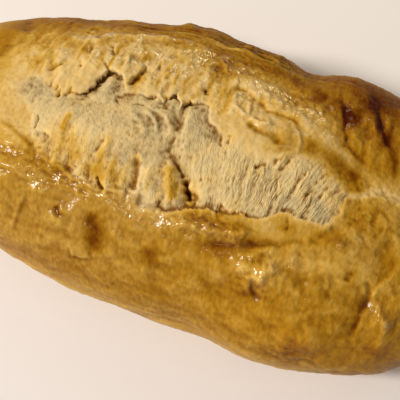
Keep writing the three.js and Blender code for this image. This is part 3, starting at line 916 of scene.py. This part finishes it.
def section_sizes(x):
    """Half width, top, bottom, widest level and middle line of the sections at x."""
    along = np.clip(x / (LENGTH / 2), -1.0, 1.0)
    left = along < WIDEST_AT
    from_widest = (along - WIDEST_AT) / np.where(left, 1 + WIDEST_AT, 1 - WIDEST_AT)
    bluntness = np.where(left, LEFT_BLUNTNESS, RIGHT_BLUNTNESS)
    half_width = WIDTH / 2 * np.sqrt(np.clip(1 - np.abs(from_widest) ** bluntness, 0.0, 1.0))
    arch = np.clip(1 - np.abs(along) ** ARCH_POWER, 0.0, 1.0) ** (1 / ARCH_ROOT)
    tip = TIP_LEVEL * HEIGHT
    top = tip + (HEIGHT - tip) * arch
    bottom = tip * (1 - arch) - SUNK_BASE * arch
    wide = bottom + WIDE_LEVEL * (top - bottom)
    middle = END_BOW * along**2 + END_SKEW * along
    return half_width, top, bottom, wide, middle


def half_outline(x, side):
    """Half of each section from the crown to the middle of the base; side is 1 far, -1 near."""
    half_width, top, bottom, wide, middle = (size[:, None] for size in section_sizes(x))
    turn = np.linspace(np.pi / 2, -np.pi / 2, SECTION_STEPS + 1)
    power = 2.0 / np.where(turn >= 0, CROWN_POWER, FOOT_POWER)
    out = np.abs(np.cos(turn)) ** power
    up = np.sign(np.sin(turn)) * np.abs(np.sin(turn)) ** power
    y = middle + side * half_width * out
    z = np.maximum(0.0, wide + up * np.where(up > 0, top - wide, wide - bottom))
    steps = np.hypot(np.diff(y, axis=1), np.diff(z, axis=1))
    girth = np.concatenate([np.zeros((len(x), 1)), np.cumsum(steps, axis=1)], axis=1)
    return y, z, girth


def even_form(rows, shares):
    """Points of the even form (rows, columns, 3) and their way round s."""
    points = np.empty((len(rows), len(shares), 3))
    way_round = np.empty((len(rows), len(shares)))
    points[:, :, 0] = rows[:, None]
    for side, columns in ((1, shares < 0), (-1, shares >= 0)):
        y, z, girth = half_outline(rows, side)
        for i in range(len(rows)):
            reach = np.abs(shares[columns]) * girth[i, -1]
            points[i, columns, 1] = np.interp(reach, girth[i], y[i])
            points[i, columns, 2] = np.interp(reach, girth[i], z[i])
            way_round[i, columns] = -side * reach
    return points, way_round


def row_places():
    left_end, right_end = LENGTH_BANDS[0][0], LENGTH_BANDS[-1][1]
    turn = np.pi / 2 * np.arange(1, LEFT_END_STEPS) / LEFT_END_STEPS
    places = [-LENGTH / 2 + (left_end + LENGTH / 2) * (1 - np.cos(turn))]
    places += [np.arange(start, end, step) for start, end, step in LENGTH_BANDS]
    turn = np.pi / 2 * np.arange(RIGHT_END_STEPS) / RIGHT_END_STEPS
    places.append(right_end + (LENGTH / 2 - right_end) * np.sin(turn))
    return np.concatenate(places)


def way_along(rows):
    """x, and toward the two ends the way over the skin, so that what is drawn there keeps its size."""
    half_width = section_sizes(rows)[0]
    between = (rows[1:] + rows[:-1]) / 2
    extra = np.hypot(np.diff(rows), np.diff(half_width)) - np.diff(rows)
    extra = np.where(np.abs(between) > STRAIGHT_TO, extra, 0.0)
    right = np.cumsum(np.where(between > 0, extra, 0.0))
    left = np.cumsum(np.where(between < 0, extra, 0.0)[::-1])[::-1]
    return rows + np.append(0.0, right) - np.append(left, 0.0)


def column_shares():
    """Places round the section from -1 to 1, both of them the middle of the base, 0 the crown."""
    girth = half_outline(np.array([WIDEST_AT * LENGTH / 2]), 1)[2][0, -1]
    far_foot, near_foot = GIRTH_BANDS[0][0], GIRTH_BANDS[-1][1]
    places = [np.linspace(-girth, far_foot, BASE_STEPS, endpoint=False)]
    places += [np.arange(start, end, step) for start, end, step in GIRTH_BANDS]
    places.append(np.linspace(near_foot, girth, BASE_STEPS, endpoint=False))
    return np.concatenate(places) / girth


def unit(vectors):
    return vectors / np.maximum(TINY, np.linalg.norm(vectors, axis=-1, keepdims=True))


def skin_net():
    """The even form as a net of points, with their places (x, s), directions and share in the caps."""
    rows = row_places()
    even, s = even_form(rows, column_shares())
    x = np.broadcast_to(way_along(rows)[:, None], s.shape)
    along = unit(np.gradient(even, axis=0))
    around = unit(np.roll(even, -1, axis=1) - np.roll(even, 1, axis=1))
    caps = smooth_ramp(np.abs(rows - ENDS_MIDDLE), *CAP_RAMP)[:, None]
    return Net(even, x, s, along, around, unit(np.cross(around, along)), caps)


def grains(x, s, places, shape, seed):
    """Local grain: a shape of noise that is strong at each place and fades out within its reach."""
    total = np.zeros(x.shape)
    bent_x, bent_s = wandered(x, s, GRAIN_WANDER, WANDER_SIZE, seed - 2)
    for i, (*place, size, amount) in enumerate(places):
        total += amount * swell(x, s, *place) * shape(bent_x, bent_s, size, seed + 2 * i, octaves=2)
    return total


def painted(x, s, places, lines):
    """Sum of the changes given at places and along lines."""
    total = np.zeros(x.shape)
    for *place, amount in places:
        total += amount * swell(x, s, *place)
    line_x, line_s = wandered_for_lines(x, s)
    for line, width, amount in lines:
        total += amount * fold(line_x, line_s, line, width)
    return total


def cap_noise(net, size, seed):
    """Noise of the two coordinates across each axis, by how far the form faces that axis."""
    places = net.even + np.where(net.even[:, :, :1] > 0, CAP_SHIFT, 0.0)
    total = np.zeros(net.s.shape)
    for axis in range(3):
        u, v = (places[:, :, other] for other in range(3) if other != axis)
        across = hills(u, v, (size, size), seed + CAP_OCTAVES * axis, CAP_OCTAVES)
        total += net.normal[:, :, axis] ** 2 * across
    return total


def blisters(x, s):
    return sum(swell(x, s, *at, *BLISTER_REACH) for at in BLISTERS)


def crust_relief(x, s):
    height = LUMP_HEIGHT * hills(x, s, LUMP_SIZE, seed=20, octaves=3)
    height += SKIN_HEIGHT * hills(x, s, SKIN_SIZE, seed=26, octaves=2)
    height += painted(x, s, SWELLS, FOLDS)
    line_x, line_s = wandered_for_lines(x, s)
    for line, width, amount in LEDGES:
        height += amount * ledge(line_x, line_s, line, width)
    height -= PIT_DEPTH * smooth_ramp(hills(x, s, PIT_SIZE, seed=28), *PIT_RAMP)
    height += BLISTER_HEIGHT * blisters(x, s)
    height += grains(x, s, GRAINS, hills, seed=100)
    return height + grains(x, s, CRESTS, billows, seed=200)


def burst_depth(x, s):
    """Distance inside the ragged edge of the burst, negative outside, and the far lip's share, 1 on it."""
    x = x + LIP_RAGGEDNESS * hills(x, s, RAG_SIZE_ALONG, seed=40)
    s = s + LIP_RAGGEDNESS * hills(x, s, RAG_SIZE_AROUND, seed=41, octaves=3)
    far, near = near_line(x, s, FAR_LIP)[0], near_line(x, s, NEAR_LIP)[0]
    inside = (x > FAR_LIP[0][0]) & (x < FAR_LIP[-1][0])
    inside = inside & (s > read_line(FAR_LIP, x)) & (s < read_line(NEAR_LIP, x))
    depth = np.where(inside, 1.0, -1.0) * np.minimum(far, near)
    return depth, near / np.maximum(TINY, far + near)


def open_share(x, depth, far_share, column):
    """0 on the crust, 1 on the crumb, with the lip's own softness between."""
    edge = read_line(FAR_EDGES, x, column) * far_share + read_line(NEAR_EDGES, x, column) * (1 - far_share)
    return smooth_ramp(depth, -edge / 2, edge / 2)


def torn_share(x, s):
    """1 on the left pillow, 0 on the right one."""
    distance, side, _ = near_line(x, s, FISSURE)
    return smooth_ramp(side * distance, -SPLIT_BLEND / 2, SPLIT_BLEND / 2)


def rips(x, s):
    height = np.zeros(x.shape)
    line_x, line_s = wandered(x, s, *RIP_WANDER, seed=34)
    strength = np.clip(1.0 + RIP_UNEVENNESS * hills(x, s, RIP_UNEVEN_SIZE, seed=38), *RIP_STRENGTHS)
    for line, width, amount in TEARS:
        distance, _, taper = near_line(line_x, line_s, line)
        height += amount * strength * taper * np.exp(-distance / width)
    return height


def burst_fields(x, s):
    depth, far_share = burst_depth(x, s)
    opened = open_share(x, depth, far_share, column=1)
    pale = open_share(x, depth, far_share, column=2)
    return Burst(depth, far_share, opened, pale, torn_share(x, s), rips(x, s))


def fan(x, s):
    """Place across the fibres of the right pillow."""
    return x + FAN_SLANT * np.clip(x - FAN_MIDDLE[0], *FAN_LIMITS) * (s - FAN_MIDDLE[1])


def flakes(height, step, share):
    """Even slopes turned in part into flat flakes with steep edges."""
    level = np.floor(height / step)
    flat = step * (level + smooth_ramp(height / step - level, *FLAKE_EDGE))
    return (1 - share) * height + share * flat


def strap_texture(x, s):
    """Stretched fibres: flat straps side by side with fine threads on them."""
    bent_x, bent_s = wandered(x, s, *STRAP_WANDER, seed=46)
    across = fan(bent_x, s)
    straps = flakes(two_hills(across, bent_s, *STRAP_SIZES, seed=48), *STRAP_FLAKES)
    threads = THREAD_LIFT + billows(across, bent_s, THREAD_SIZE, seed=50, octaves=2)
    loose = LOOSE_LEVEL + swell(x, s, *FIBRES) + LOOSE_NOISE * hills(x, s, LOOSE_SIZE, seed=51)
    return np.clip(loose, *LOOSE_LIMITS) * (STRAP_HEIGHT * straps + THREAD_HEIGHT * threads)


def blade_texture(x, s):
    """Torn crumb: crumpled at the far side, long blades toward the near lip."""
    bent_x, bent_s = wandered(x, s, *BLADE_WANDER, seed=52)
    blades = flakes(two_hills(bent_x, bent_s, *BLADE_SIZES, seed=54), *BLADE_FLAKES)
    crumple = two_hills(bent_x, bent_s, *CRUMPLE_SIZES, seed=56)
    low = smooth_ramp(s, *BLADES_RAMP)
    return BLADE_HEIGHT * low * blades + CRUMPLE_HEIGHT * (1 - CRUMPLE_FADE * low) * crumple


def crumb_texture(x, s, torn):
    texture = strap_texture(x, s) * (1 - torn) + blade_texture(x, s) * torn
    grit_height = CRUMB_GRIT_HEIGHT * (1 - TORN_GRIT_FADE * torn)
    texture += grit_height * hills(x, s, CRUMB_GRIT_SIZE, seed=58)
    for place in SMOOTH_PLACES:
        texture = texture * (1 - SMOOTHNESS * swell(x, s, *place))
    return texture


def burst_relief(x, s, burst):
    depth, far_share, opened, torn = burst.depth, burst.far_share, burst.opened, burst.torn
    drop = read_line(FAR_DROPS, x) * far_share + read_line(NEAR_DROPS, x) * (1 - far_share)
    drop = drop * bell(depth, GAP_WIDTH)
    curl = LIP_CURL * torn * (far_share > 0.5) * (1 - opened) * bell(depth, CURL_REACH)
    pillows = opened * painted(x, s, [LEFT_PILLOW], []) + painted(x, s, [RIGHT_PILLOW], [])
    return curl + pillows + burst.rips + opened * (crumb_texture(x, s, torn) - drop)


def skin_relief(net, burst):
    """Height of the skin over the even form, fading out toward the floor."""
    relief = crust_relief(net.x, net.s) + burst_relief(net.x, net.s, burst)
    cap_relief = painted(net.x, net.s, SWELLS, [])
    cap_relief += CAP_HILL_HEIGHT * cap_noise(net, CAP_HILL_SIZE, seed=300)
    fade = smooth_ramp(net.even[:, :, 2], *RELIEF_RAMP)
    return fade * (relief + net.caps * (cap_relief - relief))


def lip_lean(x, s, burst):
    """How far the skin leans sideways over the burst at the far lip, along x and s."""
    depth = burst.depth
    slope_x, slope_s = np.gradient(depth)
    slope_x, slope_s = slope_x / np.gradient(x, axis=0), slope_s / np.gradient(s, axis=1)
    lean = np.where(depth < 0, LIP_OVERHANG, -LIP_UNDERCUT) * bell(depth, OVERHANG_REACH)
    deep = smooth_ramp(read_line(FAR_DROPS, x), *OVERHANG_DROPS)
    lean = lean * burst.torn * (burst.far_share > 0.5) * deep
    steep = np.maximum(1.0, np.hypot(slope_x, slope_s))
    return lean * slope_x / steep, lean * slope_s / steep


def skin_points(net, burst, relief):
    lean_x, lean_s = lip_lean(net.x, net.s, burst)
    points = net.even + relief[..., None] * net.normal
    points = points + lean_x[..., None] * net.along + lean_s[..., None] * net.around
    points[:, :, 2] = np.maximum(0.0, points[:, :, 2])
    points[:, :, 1] += RECENTRE_Y
    return points


def spread(values, steps):
    """Mean of each value's neighbours within that many steps each way."""
    count = 2 * steps + 1
    longer = np.pad(values, ((steps, steps), (0, 0)), mode="edge")
    along = sum(longer[first:first + len(values)] for first in range(count)) / count
    return sum(np.roll(along, shift, axis=1) for shift in range(-steps, steps + 1)) / count


def bake_share(x, s, burst):
    """How far each place is baked: 0 raw crumb, 1 scorched crust."""
    climb = RIM_CLIMB * np.clip(x - RIM_LEVEL_AT, *RIM_CLIMB_LIMITS) * (1 - smooth_ramp(x, *RIM_CLIMB_END))
    crust = read_line(BAKE_ROUND, s + climb * smooth_ramp(-s, *RIM_SIDE))
    for i, (size, amount) in enumerate(MOTTLES):
        crust = crust + amount * hills(x, s, (size, size), seed=60 + i)
    crust = crust + (END_BAKE - crust) * smooth_ramp(np.abs(x - ENDS_MIDDLE), *END_RAMP)
    crumb = CRUMB_BAKE + CRUMB_MOTTLE * hills(x, s, CRUMB_MOTTLE_SIZE, seed=64, octaves=3)
    bake = crust + (crumb - crust) * burst.pale + painted(x, s, BAKE_PLACES, BAKE_LINES)
    # Rips are painted darker brown with their depth, as painted shade
    bake = bake + grains(x, s, BAKE_STREAKS, hills, seed=160) - RIP_PAINTED_SHADE * burst.rips
    return np.clip(bake, LEAST_CRUST_BAKE * (1 - burst.pale), 1.0) - SPECK_MEAN


# On the crust, hollows are painted browner and tops paler, as painted shade and painted highlight
def skin_bake(net, burst, tops):
    bake = bake_share(net.x, net.s, burst) - HOLLOW_SHADE_IN_BAKE * tops * (1 - burst.opened)
    cap_bake = END_BAKE - SPECK_MEAN + CAP_MOTTLE * cap_noise(net, CAP_MOTTLE_SIZE, seed=340)
    return bake + net.caps * (cap_bake - bake)


# Painted shade and painted highlight: hollows darker, tops lighter, the listed darker and lighter places,
# and random patches of the crumb
def skin_shade(x, s, opened, tops):
    shade = SHADE_LEVEL + tops * (CRUST_SHADE + (1 - CRUST_SHADE) * opened)
    shade = shade + painted(x, s, SHADE_AND_TONE_PLACES, SHADE_AND_TONE_LINES)
    return shade + CRUMB_PATCHES * opened * hills(x, s, CRUMB_PATCH_SIZE, seed=70, octaves=2)


def skin_shine(x, s, opened):
    shine = (SHINE + NEAR_SHINE * smooth_ramp(s, *NEAR_SHINE_RAMP)) * (1 - opened)
    return shine + painted(x, s, SHINE_PLACES, SHINE_LINES) + BLISTER_SHINE * blisters(x, s)


def skin_fibre(x, s, opened, torn):
    strength = FIBRE_STRENGTH - TORN_FIBRE_FADE * torn + FIBRE_EXTRA * (1 - torn) * swell(x, s, *FIBRES)
    return opened * strength + (1 - opened) * painted(x, s, WRINKLED, [])


def grain_places(x, s, torn):
    """Places across and along the fibres, in millimetres, for the threads of the material."""
    bent_x, bent_s = wandered(x, s, THREAD_WANDER, WANDER_SIZE, seed=80)
    along = bent_s * (1 + (TORN_SHORTNESS - 1) * torn)
    return np.stack([fan(bent_x, s), along, np.zeros(s.shape)], -1)


def skin_fields(net, burst, relief):
    """What the material reads at each point of the net, by name."""
    x, s, opened = net.x, net.s, burst.opened
    # How far each place stands above or below its neighbours, which sets the painted shade and painted
    # highlight
    tops = sum(change * (relief - spread(relief, steps)) for steps, change in HOLLOW_SHADE_STEPS)
    shine = skin_shine(x, s, opened)
    return {
        "bake": skin_bake(net, burst, tops),
        "roughness": CRUST_ROUGHNESS + (CRUMB_ROUGHNESS - CRUST_ROUGHNESS) * opened,
        "shine": np.clip(shine, 0.0, 1.0),
        "shade": np.clip(skin_shade(x, s, opened, tops), 0.0, 1.0),
        "grit": np.clip(CRUST_GRIT + CRUMB_GRIT * opened + SHINE_GRIT * shine, 0.0, 1.0),
        "fibre": skin_fibre(x, s, opened, burst.torn),
        "grain_place": grain_places(x, s, burst.torn),
        "crags": (1 - opened) * (CRAGS + painted(x, s, CRAG_PLACES, [])),
    }


def add_field(mesh, name, values):
    """A number or place for each point of the net, and the mean of the end rows for the two tips."""
    kind, part = ("FLOAT", "value") if values.ndim == 2 else ("FLOAT_VECTOR", "vector")
    tips = values[[0, -1]].mean(axis=1)
    numbers = np.concatenate([values.ravel(), tips.ravel()]).astype(np.float32)
    mesh.attributes.new(name, kind, "POINT").data.foreach_set(part, numbers)


def closed_faces(rows, columns):
    """Quads of the net and the fans at the two tips."""
    first, j = np.meshgrid(np.arange(rows - 1) * columns, np.arange(columns), indexing="ij")
    after = (j + 1) % columns
    following = first + columns
    quads = np.stack([first + j, first + after, following + after, following + j], -1)
    around = np.arange(columns)
    after = (around + 1) % columns
    left_tip, right_tip = rows * columns, rows * columns + 1
    last = (rows - 1) * columns
    left = np.stack([np.full(columns, left_tip), after, around], -1)
    right = np.stack([np.full(columns, right_tip), last + around, last + after], -1)
    return quads.reshape(-1, 4).tolist() + left.tolist() + right.tolist()


def add_object(name, data):
    piece = bpy.data.objects.new(name, data)
    bpy.context.collection.objects.link(piece)
    return piece


def loaf_piece():
    net = skin_net()
    burst = burst_fields(net.x, net.s)
    relief = skin_relief(net, burst)
    points = skin_points(net, burst, relief)
    tips = points[[0, -1]].mean(axis=1)
    vertices = np.concatenate([points.reshape(-1, 3), tips]) * MM
    mesh = bpy.data.meshes.new("loaf_skin")
    mesh.from_pydata(vertices.tolist(), [], closed_faces(*net.s.shape))
    mesh.shade_smooth()
    for name, values in skin_fields(net, burst, relief).items():
        add_field(mesh, name, values)
    mesh.materials.append(bread_material())
    return add_object("loaf_skin", mesh)


def linear(colour):
    """sRGB 0-255 to linear RGBA."""
    shares = [value / 255 for value in colour]
    return [c / 12.92 if c <= 0.04045 else ((c + 0.055) / 1.055) ** 2.4 for c in shares] + [1.0]


def bread_material():
    material = bpy.data.materials.new("bread")
    material.use_nodes = True
    nodes, links = material.node_tree.nodes, material.node_tree.links
    shader = nodes["Principled BSDF"]

    def fill(node, inputs):
        """Links an output to each named input, or sets a plain value there."""
        for name, value in inputs.items():
            if isinstance(value, bpy.types.NodeSocket):
                links.new(value, node.inputs[name])
            else:
                node.inputs[name].default_value = value

    def add(kind, output, inputs, **settings):
        """A new node with its settings and inputs, as one of its outputs."""
        node = nodes.new("ShaderNode" + kind)
        for name, value in settings.items():
            setattr(node, name, value)
        fill(node, inputs)
        return node.outputs[output]

    def field(name, output="Fac"):
        return add("Attribute", output, {}, attribute_name=name)

    def grain(place, scale, detail):
        return add("TexNoise", "Fac", {"Vector": place, "Scale": scale, "Detail": detail})

    def stretched(place, scale):
        return add("Mapping", "Vector", {"Vector": place, "Scale": scale})

    def bump(height, strength, distance, **under):
        inputs = {"Height": height, "Strength": strength, "Distance": distance}
        return add("Bump", "Normal", {**inputs, **under})

    def scaled(value, factor, added):
        return add("Math", "Value", {0: value, 1: factor, 2: added}, operation="MULTIPLY_ADD")

    def ridges(share):
        """Thin crests where the noise passes its middle: 1 on the crest, less to each side."""
        away = add("Math", "Value", {0: scaled(share, 2.0, -1.0)}, operation="ABSOLUTE")
        return scaled(away, -1.0, 1.0)

    def colour_ramp(share, colours):
        node = nodes.new("ShaderNodeValToRGB")
        stops = node.color_ramp.elements
        while len(stops) < len(colours):
            stops.new(0.5)
        for stop, (position, colour) in zip(stops, colours):
            stop.position = position
            stop.color = linear(colour)
        fill(node, {"Fac": share})
        return node.outputs["Color"]

    place = add("TexCoord", "Object", {})
    threads = ridges(grain(stretched(field("grain_place", "Vector"), THREAD_SCALE), 1.0, THREAD_DETAIL))
    # Painted highlight on the thread crests and painted shade between them
    thread_highlight_shade = scaled(scaled(threads, 1.0, -THREAD_MEAN), field("fibre"), field("shade"))
    specks = scaled(grain(stretched(place, SPECK_SCALE), 1.0, SPECK_DETAIL), SPECKS, field("bake"))
    # The bake colour is multiplied by the painted shade and painted highlight
    baked, shade = colour_ramp(specks, BAKE_COLOURS), colour_ramp(thread_highlight_shade, SHADE_COLOURS)
    multiply = {"data_type": "RGBA", "blend_type": "MULTIPLY"}
    grit = bump(grain(place, *GRIT_GRAIN), field("grit"), GRIT_BUMP)
    wrinkles = bump(ridges(grain(place, *WRINKLE_GRAIN)), field("crags"), WRINKLE_BUMP, Normal=grit)
    crags = bump(grain(place, *CRAG_GRAIN), field("crags"), CRAG_BUMP, Normal=wrinkles)
    fill(shader, {
        "Base Color": add("Mix", "Result", {"Factor": 1.0, "A": baked, "B": shade}, **multiply),
        "Roughness": field("roughness"),
        "Specular IOR Level": SPECULAR_LEVEL,
        "Specular Tint": linear(GLOSS_COLOUR),
        "Coat Weight": field("shine"),
        "Coat Roughness": COAT_ROUGHNESS,
        "Normal": bump(threads, field("fibre"), THREAD_BUMP, Normal=crags),
        "Coat Normal": bump(grain(place, *COAT_GRAIN), field("grit"), COAT_BUMP),
    })
    return material


def floor_material():
    material = bpy.data.materials.new("floor")
    material.use_nodes = True
    shader = material.node_tree.nodes["Principled BSDF"]
    shader.inputs["Base Color"].default_value = linear(FLOOR_COLOUR)
    shader.inputs["Roughness"].default_value = FLOOR_ROUGHNESS
    return material


def floor_piece():
    corners = [(x * FLOOR_REACH, y * FLOOR_REACH, 0) for x, y in ((-1, -1), (1, -1), (1, 1), (-1, 1))]
    mesh = bpy.data.meshes.new("floor")
    mesh.from_pydata(corners, [], [(0, 1, 2, 3)])
    mesh.materials.append(floor_material())
    return add_object("floor", mesh)


def aim(piece, place, target):
    """Puts a lamp or camera at a place, turned to a target."""
    piece.location = place
    piece.rotation_euler = (target - place).to_track_quat("-Z", "Y").to_euler()


def add_camera():
    lens = bpy.data.cameras.new("camera")
    lens.angle = CAMERA_ANGLE
    lens.clip_start = CAMERA_CLIP
    back = Vector((
        math.sin(CAMERA_TURN) * math.cos(CAMERA_RISE),
        -math.cos(CAMERA_TURN) * math.cos(CAMERA_RISE),
        math.sin(CAMERA_RISE),
    ))
    target = (Vector(CAMERA_TARGET) + Vector((0, RECENTRE_Y, 0))) * MM
    camera = add_object("camera", lens)
    aim(camera, target + back * CAMERA_DISTANCE * MM, target)
    bpy.context.scene.camera = camera


def add_lamp(name, place, size, power, colour):
    light = bpy.data.lights.new(name, "AREA")
    light.shape = "DISK"
    light.size = size
    light.energy = power
    light.color = linear(colour)[:3]
    aim(add_object(name, light), Vector(place), Vector())


def add_light():
    scene = bpy.context.scene
    world = bpy.data.worlds.new("room")
    world.use_nodes = True
    sky = world.node_tree.nodes["Background"]
    sky.inputs["Color"].default_value = linear(ROOM_COLOUR)
    sky.inputs["Strength"].default_value = ROOM_STRENGTH
    scene.world = world
    for lamp in LAMPS:
        add_lamp(*lamp)
    scene.view_settings.view_transform = "Standard"


loaf = loaf_piece()
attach(loaf, "root")
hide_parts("loaf")
floor_piece()
add_light()
add_camera()
